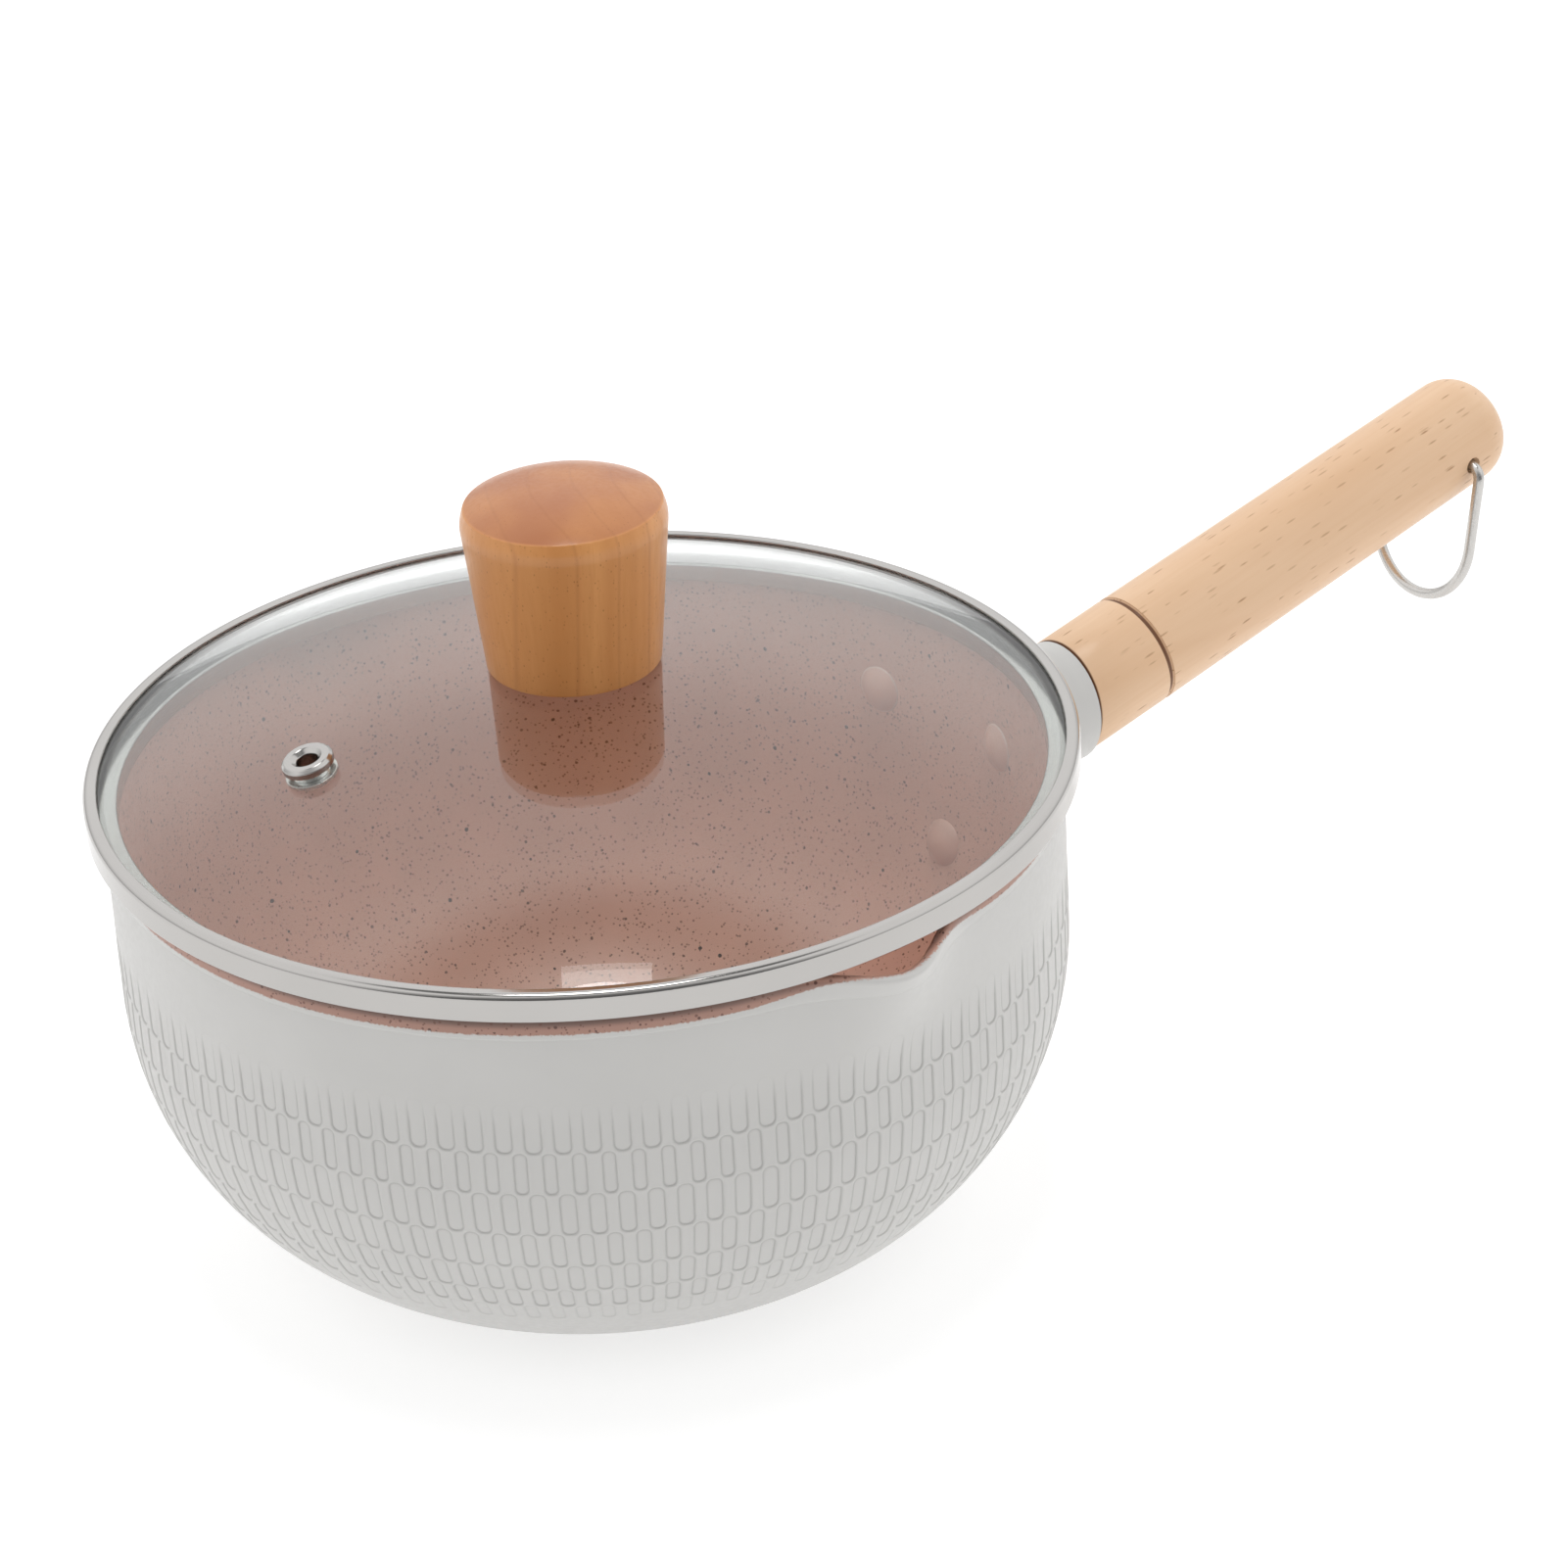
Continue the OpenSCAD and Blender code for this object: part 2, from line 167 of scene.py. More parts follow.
def merge_close(mesh, distance=1e-7):
    """Joins points that lie together, and turns the faces outwards."""
    bm = bmesh.new()
    bm.from_mesh(mesh)
    bmesh.ops.remove_doubles(bm, verts=bm.verts, dist=distance)
    bmesh.ops.recalc_face_normals(bm, faces=bm.faces)
    bm.to_mesh(mesh)
    bm.free()


def grid_object(name, rows, wrap_rows=False, marks=()):
    """Mesh over a grid of points, rows x columns x 3, closed round its columns. marks holds
    pairs of a name and a value for each point, which the materials read."""
    rows = np.asarray(rows, float)
    count, width = rows.shape[:2]
    index = np.arange(count * width).reshape(count, width)
    if wrap_rows:
        index = np.vstack([index, index[:1]])
    right = np.roll(index, -1, axis=1)
    faces = np.stack([index[:-1], right[:-1], right[1:], index[1:]], axis=-1).reshape(-1, 4)
    mesh = bpy.data.meshes.new(name)
    mesh.from_pydata(rows.reshape(-1, 3).tolist(), [], faces.tolist())
    for mark, values in marks:
        layer = mesh.attributes.new(mark, "FLOAT", "POINT")
        layer.data.foreach_set("value", np.asarray(values, np.float32).ravel())
    merge_close(mesh)
    mesh.shade_smooth()
    obj = bpy.data.objects.new(name, mesh)
    bpy.context.scene.collection.objects.link(obj)
    return obj


def turned_rows(outline, segments):
    """Rows of points of an outline of (radius, height) turned round the z axis."""
    turns = np.linspace(0, 2 * math.pi, segments, endpoint=False)
    r = np.array([p[0] for p in outline])[:, None]
    z = np.array([p[1] for p in outline])[:, None]
    return np.stack([r * np.cos(turns), r * np.sin(turns), z + 0 * turns], axis=-1)


def turned(name, outline, segments, closed=False, place=None):
    """Solid of an outline turned round the z axis, then moved to its place."""
    obj = grid_object(name, turned_rows(outline, segments), wrap_rows=closed)
    if place is not None:
        obj.data.transform(place)
    return obj


def tube(name, path, radius, sides=20):
    """Round wire along a path, with closed ends."""
    path = [Vector(p) for p in path]
    rows = []
    side = None
    for i, p in enumerate(path):
        ahead = path[min(i + 1, len(path) - 1)] - path[max(i - 1, 0)]
        ahead.normalize()
        if side is None:
            side = ahead.orthogonal().normalized()
        side = (side - ahead * side.dot(ahead)).normalized()
        up = ahead.cross(side)
        ring = [p + (side * math.cos(a) + up * math.sin(a)) * radius
                for a in np.linspace(0, 2 * math.pi, sides, endpoint=False)]
        if i == 0:
            rows += [[p] * sides, [p + (q - p) * 0.8 for q in ring]]
        rows.append(ring)
        if i == len(path) - 1:
            rows += [[p + (q - p) * 0.8 for q in ring], [p] * sides]
    return grid_object(name, [[tuple(q) for q in row] for row in rows])


def cut(obj, cutter):
    """Takes the cutter's shape out of obj, and deletes the cutter."""
    modifier = obj.modifiers.new("cut", "BOOLEAN")
    modifier.operation = "DIFFERENCE"
    modifier.solver = "EXACT"
    modifier.object = cutter
    apply_modifiers(obj)
    bpy.data.objects.remove(cutter)


def drill(obj, r, place, segments):
    """Round hole of radius r through obj, along the z axis of place."""
    reach = 20 * MM
    rod = [(0, -reach), (r, -reach), (r, reach), (0, reach)]
    cut(obj, turned("drill", rod, segments, place=place))


def apply_modifiers(obj):
    """Keeps the shape that the modifiers give, without them."""
    graph = bpy.context.evaluated_depsgraph_get()
    mesh = bpy.data.meshes.new_from_object(obj.evaluated_get(graph))
    obj.modifiers.clear()
    obj.data = mesh


def sharpen(obj, degrees):
    """Smooth shading that breaks at edges sharper than the angle."""
    obj.data.shade_smooth()
    obj.data.set_sharp_from_angle(angle=math.radians(degrees))


def keep(obj, body, slot, material, *nodes):
    """Puts a finished piece on its body, in place of the CAD nodes that it stands for."""
    obj.data.materials.clear()
    obj.data.materials.append(material)
    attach(obj, body)
    if nodes:
        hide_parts(*nodes)
    return obj


# ---- material helpers ----


class Shader:
    """A material's node tree, with short calls for the nodes that the materials share."""

    def __init__(self, name, **values):
        self.material = bpy.data.materials.new(name)
        self.material.use_nodes = True
        self.tree = self.material.node_tree
        self.surface = self.tree.nodes["Principled BSDF"]
        self.output = self.tree.nodes["Material Output"]
        for key, value in values.items():
            self.surface.inputs[key.replace("_", " ")].default_value = value

    def node(self, kind, settings=(), **inputs):
        made = self.tree.nodes.new("ShaderNode" + kind)
        for key, value in dict(settings).items():
            setattr(made, key, value)
        for key, value in inputs.items():
            self.feed(made, key, value)
        return made

    def feed(self, node, key, value):
        """Sets or links an input, by its name with _ for spaces, or by i and its number."""
        socket = node.inputs[int(key[1:])] if key[0] == "i" and key[1:].isdigit() else None
        if socket is None:
            socket = node.inputs[key.replace("_", " ")]
        if isinstance(value, bpy.types.NodeSocket):
            self.tree.links.new(value, socket)
        else:
            socket.default_value = value

    def set(self, key, socket):
        """Links an output to an input of the surface."""
        self.tree.links.new(socket, self.surface.inputs[key])

    def place(self, stretch=(1, 1, 1), turn=(0, 0, 0)):
        """Object coordinates in metres, turned and stretched."""
        where = self.node("TexCoord").outputs["Object"]
        if tuple(turn) != (0, 0, 0):
            where = self.node("Mapping", Vector=where, Rotation=turn).outputs["Vector"]
        return self.node("Mapping", Vector=where, Scale=stretch).outputs["Vector"]

    def noise(self, where, scale, detail=4, rough=0.5, distort=0.0):
        return self.node("TexNoise", Vector=where, Scale=scale, Detail=detail,
                         Roughness=rough, Distortion=distort).outputs["Fac"]

    def ramp(self, value, stops):
        made = self.node("ValToRGB", Fac=value)
        band = made.color_ramp
        while len(band.elements) < len(stops):
            band.elements.new(0.5)
        for element, (at, colour) in zip(band.elements, stops):
            element.position = at
            element.color = (*colour, 1)
        return made.outputs["Color"]

    def math(self, how, a, b=0.0, c=0.0):
        made = self.node("Math", {"operation": how}, i0=a, i1=b)
        if how == "MULTIPLY_ADD":
            self.feed(made, "i2", c)
        return made.outputs["Value"]

    def span(self, value, low, high, to_low=0.0, to_high=1.0):
        """Maps low..high smoothly onto to_low..to_high."""
        return self.node("MapRange", {"interpolation_type": "SMOOTHSTEP"}, Value=value,
                         From_Min=low, From_Max=high, To_Min=to_low,
                         To_Max=to_high).outputs["Result"]

    def mix(self, share, a, b, how="MIX"):
        made = self.node("Mix", {"data_type": "RGBA", "blend_type": how})
        self.feed(made, "i0", share)
        self.feed(made, "i6", a if isinstance(a, bpy.types.NodeSocket) else (*a, 1))
        self.feed(made, "i7", b if isinstance(b, bpy.types.NodeSocket) else (*b, 1))
        return made.outputs[2]

    def bump(self, height, distance, strength):
        made = self.node("Bump", Height=height, Distance=distance, Strength=strength)
        return made.outputs["Normal"]


PAINT = (0.60, 0.592, 0.575)
# painted shade for the thin grooves round the dimples
PAINTED_GROOVE_SHADE = (0.3, 0.295, 0.285)
COAT = (0.55, 0.305, 0.235)
# cell, share of the cells that hold a speck, size in cells, strength and colour
SPECKS = ((0.95 * MM, 0.9, 0.33, 0.7, (0.13, 0.048, 0.032)),
          (2.0 * MM, 0.6, 0.2, 0.85, (0.08, 0.03, 0.022)),
          (6 * MM, 0.7, 0.1, 1.0, (0.05, 0.02, 0.016)))


def paint_look(name):
    """Satin light grey enamel with a very fine grain."""
    s = Shader(name, Roughness=0.42, Specular_IOR_Level=0.45)
    here = s.place()
    tone = s.noise(here, 35, 3)
    tone = s.mix(s.span(tone, 0.3, 0.7), tuple(0.965 * c for c in PAINT), PAINT)
    groove = s.node("Attribute", {"attribute_name": "groove"}).outputs["Fac"]
    # painted shade: the paint is darkened along the thin groove round each dimple, beside the
    # groove cut into the mesh
    s.set("Base Color", s.mix(s.math("MULTIPLY", groove, 0.38), tone, PAINTED_GROOVE_SHADE))
    grain = s.noise(here, 2600, 2)
    s.set("Roughness", s.span(s.noise(here, 700, 3), 0.3, 0.7, 0.36, 0.5))
    s.set("Normal", s.bump(grain, 0.02 * MM, 0.35))
    return s.material


def specks(s, here, cell, share, size):
    """Mask of small irregular specks, one in each of a share of the cells."""
    wobble = s.node("TexNoise", Vector=here, Scale=1.2 / cell, Detail=1).outputs["Color"]
    shift = s.node("VectorMath", {"operation": "SCALE"}, i0=wobble, Scale=0.25 * cell)
    warped = s.node("VectorMath", {"operation": "ADD"}, i0=here, i1=shift.outputs["Vector"])
    cells = s.node("TexVoronoi", Vector=warped.outputs["Vector"], Scale=1 / cell)
    pick = s.node("SeparateColor", Color=cells.outputs["Color"])
    held = s.math("LESS_THAN", pick.outputs["Red"], share)
    radius = s.math("MULTIPLY_ADD", pick.outputs["Green"], 0.7 * size, 0.3 * size)
    inside = s.math("LESS_THAN", cells.outputs["Distance"], radius)
    return s.math("MULTIPLY", held, inside)


def coat_tone(s, here):
    """The coating's own colour, slightly uneven."""
    return s.mix(s.span(s.noise(here, 60, 4), 0.3, 0.7), tuple(0.93 * c for c in COAT), COAT)


def coat_finish(s, here, tone):
    """The coating's satin surface in a colour."""
    s.set("Base Color", tone)
    s.set("Roughness", s.span(s.noise(here, 420, 3), 0.3, 0.7, 0.3, 0.42))
    s.set("Normal", s.bump(s.noise(here, 900, 3), 0.03 * MM, 0.35))
    return s.material


def coating_look(name):
    """Sprayed pink stone-look coating, which fades over the rim into the paint."""
    s = Shader(name, Specular_IOR_Level=0.5)
    here = s.place()
    rim_shade = s.node("Attribute", {"attribute_name": "rim_shade"}).outputs["Fac"]
    # painted shade: in the band under the rim the coating darkens towards a third of its colour,
    # for the lid's shadow
    tone = s.mix(rim_shade, coat_tone(s, here), tuple(0.3 * c for c in COAT))
    for cell, share, size, strength, colour in SPECKS:
        mask = s.math("MULTIPLY", specks(s, here, cell, share, size), strength)
        tone = s.mix(mask, tone, colour)
    cover = s.node("Attribute", {"attribute_name": "coat"}).outputs["Fac"]
    spatter = s.math("MULTIPLY", s.math("SUBTRACT", s.noise(here, 1500, 3, 0.7), 0.5), 1.5)
    edge = s.span(s.math("ADD", cover, spatter), 0.25, 0.75)
    return coat_finish(s, here, s.mix(edge, PAINT, tone))


def rivet_look(name):
    """Coating on the rivets' heads inside the pan, and paint on their tails outside."""
    s = Shader(name, Specular_IOR_Level=0.5)
    here = s.place()
    reach = s.node("VectorMath", {"operation": "LENGTH"}, i0=s.place((1, 1, 0)))
    outside = s.span(reach.outputs["Value"], PAN_R - 3.5 * MM, PAN_R - 2.5 * MM)
    return coat_finish(s, here, s.mix(outside, coat_tone(s, here), PAINT))


def polished_steel(name, rough=0.13):
    """Polished steel with faint rings left by turning and polishing."""
    s = Shader(name, Metallic=1.0)
    here = s.place()
    reach = s.node("VectorMath", {"operation": "LENGTH"}, i0=s.place((1, 1, 0)))
    height = s.node("SeparateXYZ", Vector=here).outputs["Z"]
    rings = s.node("CombineXYZ", X=reach.outputs["Value"], Y=height).outputs["Vector"]
    lines = s.noise(rings, 9000, 2)
    s.set("Base Color", s.mix(s.noise(here, 30, 2), (0.43, 0.417, 0.404), (0.5, 0.486, 0.47)))
    s.set("Roughness", s.span(lines, 0.3, 0.7, rough - 0.03, rough + 0.05))
    s.set("Normal", s.bump(lines, 0.004 * MM, 0.3))
    return s.material


def satin_steel(name, rough=0.32, stretch=(1, 1, 1)):
    """Drawn or pressed steel with a fine uneven satin."""
    s = Shader(name, Metallic=1.0)
    here = s.place(stretch)
    grain = s.noise(here, 3000, 3)
    s.set("Base Color", s.mix(s.noise(here, 90, 2), (0.52, 0.505, 0.485), (0.62, 0.605, 0.585)))
    s.set("Roughness", s.span(grain, 0.3, 0.7, rough - 0.07, rough + 0.08))
    s.set("Normal", s.bump(grain, 0.01 * MM, 0.35))
    return s.material


def from_heart(s, heart):
    """Distance from an upright line through heart, a little wavy, as growth rings are."""
    wave = s.node("TexNoise", Vector=s.place((1, 1, 0.15)), Scale=45, Detail=2)
    shift = s.node("VectorMath", {"operation": "SCALE"}, i0=wave.outputs["Color"],
                   Scale=4 * MM).outputs["Vector"]
    here = s.node("VectorMath", {"operation": "ADD"}, i0=s.place((1, 1, 0)), i1=shift)
    away = s.node("VectorMath", {"operation": "DISTANCE"}, i0=here.outputs["Vector"], i1=heart)
    return away.outputs["Value"]


def wood_look(name, light, dark, fleck, along, rough, coat, marks=(), heart=None):
    """Close-grained turned wood. along turns the grain's line onto x. heart is the middle of
    the growth rings of a piece whose grain is upright."""
    s = Shader(name, Coat_Weight=coat, Coat_Roughness=0.12, Specular_IOR_Level=0.4)
    turn, stretch_band, stretch_fibre, stretch_fleck = along
    bands = s.noise(s.place(stretch_band, turn), 60, 3, 0.55, 0.6)
    if heart is not None:
        line = s.node("CombineXYZ", X=from_heart(s, heart)).outputs["Vector"]
        bands = s.noise(line, 130, 2, 0.5)
    fibre = s.noise(s.place(stretch_fibre, turn), 900, 4, 0.65)
    tone = s.ramp(bands, [(0.3, dark), (0.68, light)])
    tone = s.mix(s.span(fibre, 0.35, 0.75, 0.0, 0.35), tone, dark)
    where = s.place(stretch_fleck, turn)
    cells = s.node("TexVoronoi", Vector=where, Scale=1150)
    pick = s.node("SeparateColor", Color=cells.outputs["Color"])
    held = s.math("LESS_THAN", pick.outputs["Red"], 0.3)
    spot = s.span(cells.outputs["Distance"], 0.36, 0.14)
    share = s.math("MULTIPLY", s.math("MULTIPLY", held, spot), pick.outputs["Blue"])
    tone = s.mix(share, tone, fleck)
    for test, colour in marks:
        tone = s.mix(test(s), tone, colour)
    s.set("Base Color", tone)
    s.set("Roughness", s.span(fibre, 0.3, 0.8, rough, rough + 0.14))
    s.set("Normal", s.bump(s.math("SUBTRACT", fibre, share), 0.03 * MM, 0.35))
    return s.material


def glass_look(name):
    """Clear tempered glass with a faint green tint, which lets light through to the pan."""
    s = Shader(name, Roughness=0.0, IOR=1.5, Transmission_Weight=1.0,
               Base_Color=(0.955, 0.985, 0.972, 1))
    haze = s.noise(s.place(), 14, 2)
    s.set("Roughness", s.span(haze, 0.3, 0.7, 0.0, 0.015))
    clear = s.node("BsdfTransparent", Color=(0.93, 0.955, 0.945, 1))
    shadow = s.node("LightPath").outputs["Is Shadow Ray"]
    both = s.node("MixShader", Fac=shadow)
    s.feed(both, "i1", s.surface.outputs["BSDF"])
    s.feed(both, "i2", clear.outputs["BSDF"])
    s.tree.links.new(both.outputs["Shader"], s.output.inputs["Surface"])
    return s.material


def brass_look(name):
    """Turned brass, slightly uneven in colour."""
    s = Shader(name, Metallic=1.0)
    here = s.place()
    s.set("Base Color", s.mix(s.noise(here, 300, 3), (0.6, 0.42, 0.16), (0.72, 0.53, 0.24)))
    s.set("Roughness", s.span(s.noise(here, 2500, 2), 0.3, 0.7, 0.25, 0.4))
    return s.material


def silicone_look(name):
    """Soft pale rubber with a matte skin."""
    s = Shader(name, Roughness=0.55, Subsurface_Weight=0.1)
    here = s.place()
    s.set("Base Color", s.mix(s.noise(here, 200, 3), (0.62, 0.62, 0.6), (0.7, 0.7, 0.68)))
    s.set("Normal", s.bump(s.noise(here, 2200, 2), 0.02 * MM, 0.4))
    return s.material


# ---- pan ----


def side_point(run):
    """Radius and height on the pan's outer face, at a run down the wall from the rim."""
    straight = RIM_Z - SIDE_Z
    angle = np.clip((run - straight) / SIDE_R, 0, None)
    r = SIDE_X + SIDE_R * np.cos(angle)
    z = np.where(run < straight, RIM_Z - run, SIDE_Z - SIDE_R * np.sin(angle))
    return r, z


def side_run(z):
    """The run down the wall at which the outer face is at height z."""
    if z >= SIDE_Z:
        return RIM_Z - z
    return RIM_Z - SIDE_Z + SIDE_R * math.asin((SIDE_Z - z) / SIDE_R)


def spout_bulge(turns):
    """How far out each turn is drawn: 1 at the middle of a spout, 0 away from it."""
    away = np.minimum(*(np.abs((turns - t + math.pi) % (2 * math.pi) - math.pi)
                        for t in SPOUT_TURNS))
    return np.exp(-(away / SPOUT_SPREAD) ** 2)


def with_spouts(r, z, turns):
    """Points at radius r and height z, drawn out into the spouts. r and z are columns."""
    bulge = spout_bulge(turns)
    rise = np.clip((z - SPOUT_FOOT_Z) / (RIM_Z - SPOUT_FOOT_Z), 0, 1) ** 1.5
    dip = np.clip((z - 0.8 * RIM_Z) / (0.2 * RIM_Z), 0, 1)
    reach = r + SPOUT_REACH * bulge * rise
    return np.stack([reach * np.cos(turns), reach * np.sin(turns),
                     z - SPOUT_DROP * bulge * dip], axis=-1)


def spouted_rows(outline, turns):
    """Rows of points of an outline turned round the pan's axis and drawn out into the spouts."""
    r = np.array([p[0] for p in outline])[:, None]
    z = np.array([p[1] for p in outline])[:, None]
    return with_spouts(r, z, turns)


def smooth(x):
    """Eased step from 0 to 1."""
    x = np.clip(x, 0, 1)
    return x * x * (3 - 2 * x)


def slot_edge(across, along, half, half_length):
    """Distance out from the edge of an upright rounded slot, less than 0 inside it."""
    corner = 0.9 * half
    side = across - (half - corner)
    end = abs(along) - (half_length - corner)
    outside = np.hypot(np.maximum(side, 0), max(end, 0))
    return outside + np.minimum(np.maximum(side, end), 0) - corner


def dimple_strength(row, below):
    """Share of the full depth: the first row fades in downwards, and the last is shallow."""
    if row == 0:
        return 0.1 + 0.9 * smooth(below / (7 * MM))
    if row == len(DIMPLE_HALVES) - 1:
        return 0.45
    return 1.0


def dimples(turns, run, r):
    """Depth of the pressed dimples, and the painted shade of the thin groove round each of them.

    The dimples are rows of upright rounded slots, each row half a step on from the last."""
    depth = np.zeros((len(run), len(turns)))
    shade = np.zeros_like(depth)
    step = 2 * math.pi / DIMPLES
    for row, (top, bottom, share) in enumerate(zip(DIMPLE_ENDS, DIMPLE_ENDS[1:], DIMPLE_HALVES)):
        offset = np.abs((turns / step - 0.5 * (row % 2) + 0.5) % 1 - 0.5)
        for i in np.flatnonzero((run >= top - 1 * MM) & (run <= bottom + 1 * MM)):
            spacing = step * r[i]
            along = run[i] - (top + bottom) / 2
            edge = slot_edge(offset * spacing, along, share * spacing, (bottom - top) / 2)
            line = np.exp(-((edge + GROOVE_IN) / GROOVE_HALF) ** 2)
            dip = DIMPLE_DEPTH * smooth(0.5 - edge / DIMPLE_EDGE) + GROOVE_DEPTH * line
            dip -= LIP_HEIGHT * np.exp(-((edge - LIP_OUT) / LIP_HALF) ** 2)
            strength = dimple_strength(row, run[i] - top)
            dip *= strength
            depth[i] = np.where(np.abs(dip) > np.abs(depth[i]), dip, depth[i])
            shade[i] = np.maximum(shade[i], strength * line)
    return depth, shade


def dimple_grid():
    """Turns of the columns of points and runs of the rows, close together only where the
    edges of the dimples cross them."""
    half = [0, 0.1, 0.17, 0.2, 0.22, 0.24, 0.26, 0.28, 0.3, 0.32, 0.36, 0.43]
    shares = np.array(half + [0.5] + [1 - share for share in half[:0:-1]])
    turns = ((np.arange(DIMPLES)[:, None] + shares) * 2 * math.pi / DIMPLES).ravel()
    beside = np.array([0.06, 0.18, 0.3, 0.45, 0.62, 0.85, 1.2, 1.7, 2.7]) * MM
    first, last = DIMPLE_ENDS[0], DIMPLE_ENDS[-1]
    runs = np.concatenate([np.linspace(RIM_ROUND, first - 4 * MM, 14),
                           first + np.array([4, 5.5, 7]) * MM,
                           (DIMPLE_ENDS[:, None] + np.concatenate([-beside, beside])).ravel(),
                           np.linspace(last + 4 * MM, side_run(0), 9)])
    return turns, np.unique(runs.round(7))[::-1]


def pan_body():
    """Painted shell: dimpled side, spouts, rim, and the recess for the base plate."""
    turns, runs = dimple_grid()
    r, z = side_point(runs)
    depth, shade = dimples(turns, runs, r)
    slope = np.clip((runs - (RIM_Z - SIDE_Z)) / SIDE_R, 0, None)[:, None]
    outwards = np.stack([np.cos(slope) * np.cos(turns), np.cos(slope) * np.sin(turns),
                         -np.sin(slope) + 0 * turns], axis=-1)
    side = with_spouts(r[:, None], z[:, None], turns) - outwards * depth[..., None]
    recess_r = PLATE_R + 0.2 * MM
    foot_r = r[0]
    under = rounded([(0, PLATE_T, 0), (recess_r, PLATE_T, 0.2 * MM),
                     (recess_r, 0, 0.4 * MM), (foot_r, 0, 0)], False, 4)
    inner_r = PAN_R - WALL_T
    top = arc(PAN_R - RIM_ROUND, RIM_Z - RIM_ROUND, RIM_ROUND - 0.12 * MM, 0, 180, 8)
    inner = [(inner_r, RIM_Z - h * MM) for h in (2, 8, 16, 24, 32)]
    inner += arc(SIDE_X, SIDE_Z, SIDE_R - WALL_T, 0,
                 -math.degrees(math.asin((SIDE_Z - FLOOR_T) / (SIDE_R - WALL_T))), 10)
    inner += [(0, FLOOR_T)]
    rows = [spouted_rows(under[:-1], turns), side, spouted_rows(top + inner, turns)]
    # painted shade along the dimples' grooves, which the paint reads
    groove_shade = np.zeros((sum(len(part) for part in rows), len(turns)))
    groove_shade[len(under) - 1:][:len(runs)] = shade
    obj = grid_object("pan_body", np.concatenate(rows), marks=[("groove", groove_shade)])
    return keep(obj, "pan", "body_paint", LOOKS["paint"], "pan_shell")


def coating_face():
    """Outline of the coating's face: up the outside, over the rim and down to the centre."""
    outside = [(PAN_R + COAT_SKIN * min(1, i / 3), RIM_Z - COAT_FOOT + 0.4 * i * MM)
               for i in range(10)]
    rim = arc(PAN_R - RIM_ROUND, RIM_Z - RIM_ROUND, RIM_ROUND + COAT_SKIN, 0, 180, 10)
    wall_r = PAN_R - WALL_T - COAT_T
    wall = [(wall_r, RIM_Z - h * MM) for h in (1.8, 4, 7, 10, 14, 18, 22, 26, 30)]
    bowl_r = SIDE_R - WALL_T - COAT_T
    low = math.degrees(math.asin((SIDE_Z - FLOOR_T - COAT_T) / bowl_r))
    bowl = arc(SIDE_X, SIDE_Z, bowl_r, 0, -low, 28)
    floor_r = bowl[-1][0]
    middle = [(f * floor_r, FLOOR_T + COAT_T) for f in (0.96, 0.8, 0.6, 0.4, 0.2, 0)]
    return outside + rim + wall + bowl + middle


def coating_back():
    """Outline of its hidden back, from the centre up and over to its foot outside."""
    bowl_r = SIDE_R - WALL_T - COAT_BACK
    bottom = FLOOR_T + COAT_BACK
    low = math.degrees(math.asin((SIDE_Z - bottom) / bowl_r))
    bowl = arc(SIDE_X, SIDE_Z, bowl_r, -low, 0, 20)
    rim = arc(PAN_R - RIM_ROUND, RIM_Z - RIM_ROUND, RIM_ROUND - COAT_SKIN, 180, 0, 8)
    return ([(0, bottom)] + bowl + [(PAN_R - WALL_T - COAT_BACK, RIM_Z - RIM_ROUND)] + rim
            + [(PAN_R - COAT_BACK, RIM_Z - COAT_FOOT)])


def coating_marks(face, turns):
    """How far the coating covers the paint and how dark its painted shade under the rim is, at
    each point of its face.
    """
    steps = np.hypot(*np.diff(np.array(face), axis=0).T)
    climb = np.concatenate([[0], np.cumsum(steps)])[:, None]
    spout = np.sqrt(spout_bulge(turns))
    # it fades out at its foot, and higher up in the spouts
    start = (1.0 + 4.2 * spout) * MM
    cover = smooth((climb - start) / ((0.45 + 1.8 * spout) * MM))
    # painted shade: a darker band lies just under the rim, outside and away from the spouts, in
    # place of the lid's shadow there
    band = 0.35 + 0.65 * smooth((climb - 2.3 * MM) / (1.4 * MM))
    rim_shade = band * smooth((5 * MM - climb) / (0.8 * MM)) * (1 - spout)
    return cover, rim_shade


def pan_coating():
    """Coating: the inside, the rim and a narrow band down the outside, where it fades out."""
    turns = np.linspace(0, 2 * math.pi, 720, endpoint=False)
    face, back = coating_face(), coating_back()
    cover, rim_shade = coating_marks(face, turns)
    unseen = np.ones((len(back), len(turns)))
    marks = [("coat", np.concatenate([cover, unseen])), ("rim_shade", np.concatenate([rim_shade, unseen]))]
    obj = grid_object("pan_coating", spouted_rows(face + back, turns), wrap_rows=True, marks=marks)
    return keep(obj, "pan", "nonstick", LOOKS["coating"], "nonstick_lining")


def rivet(name, place):
    """Domed head inside the pan, shank, and a smaller dome on the bracket's plate."""
    head_r, head_h = 5.3 * MM, 2.3 * MM
    tail_r, tail_h = 4.5 * MM, 1.8 * MM
    reach = 3.1 * MM
    shank = 2.5 * MM

    def dome(r, h, steps=12):
        ball = (r * r + h * h) / (2 * h)
        edge = math.asin(r / ball)
        return [(ball * math.sin(a), ball * math.cos(a) - (ball - h))
                for a in np.linspace(0, edge, steps + 1)]

    head = [(r, -reach - h) for r, h in dome(head_r, head_h)]
    tail = [(r, reach + h) for r, h in reversed(dome(tail_r, tail_h))]
    outline = head + [(head_r, -reach + 0.3 * MM), (shank, -reach + 0.3 * MM),
                      (shank, reach - 0.1 * MM), (tail_r, reach - 0.1 * MM)] + tail
    obj = turned("visual_" + name, outline, 48, place=place)
    sharpen(obj, 50)
    return keep(obj, "pan", "nonstick", LOOKS["rivet"], name)


